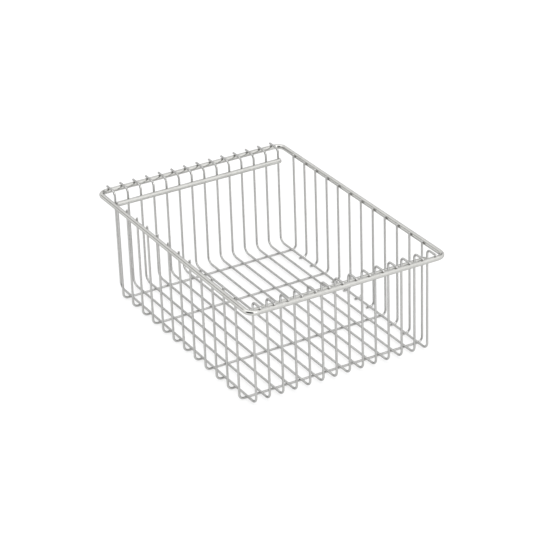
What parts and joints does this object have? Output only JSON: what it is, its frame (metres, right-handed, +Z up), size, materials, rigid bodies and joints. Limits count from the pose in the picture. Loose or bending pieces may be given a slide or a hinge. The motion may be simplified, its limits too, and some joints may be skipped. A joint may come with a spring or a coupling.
{
  "type": "wire basket",
  "caption": "Open-top rectangular welded steel wire basket: floor wires rise up the end walls and hook over a heavy round-cornered rod rim, with stiffening bars inside both ends.",
  "frame": {"origin": "on the standing plane, under the middle of the basket", "axes": "+X to the basket's right, +Y along the basket to its rear end, +Z up out of the open top"},
  "size_m": [0.2972, 0.4297, 0.1538],
  "materials": {
    "rod_steel": "bright polished stainless steel rod",
    "wire_steel": "bright polished stainless steel wire"
  },
  "bodies": {
    "root": {"rim_frame": "rod_steel", "rear_bar": "rod_steel", "front_bar": "rod_steel", "long_wire_01": "wire_steel", "long_wire_02": "wire_steel", "long_wire_03": "wire_steel", "long_wire_04": "wire_steel", "long_wire_05": "wire_steel", "long_wire_06": "wire_steel", "long_wire_07": "wire_steel", "long_wire_08": "wire_steel", "long_wire_09": "wire_steel", "long_wire_10": "wire_steel", "long_wire_11": "wire_steel", "long_wire_12": "wire_steel", "long_wire_13": "wire_steel", "long_wire_14": "wire_steel", "cross_wire_01": "wire_steel", "cross_wire_04": "wire_steel", "cross_wire_09": "wire_steel", "cross_wire_12": "wire_steel", "left_side_wire_02": "wire_steel", "left_side_wire_03": "wire_steel", "left_side_wire_05": "wire_steel", "left_side_wire_06": "wire_steel", "left_side_wire_07": "wire_steel", "left_side_wire_08": "wire_steel", "left_side_wire_10": "wire_steel", "left_side_wire_11": "wire_steel", "right_side_wire_02": "wire_steel", "right_side_wire_03": "wire_steel", "right_side_wire_05": "wire_steel", "right_side_wire_06": "wire_steel", "right_side_wire_07": "wire_steel", "right_side_wire_08": "wire_steel", "right_side_wire_10": "wire_steel", "right_side_wire_11": "wire_steel"}
  },
  "joints": []
}
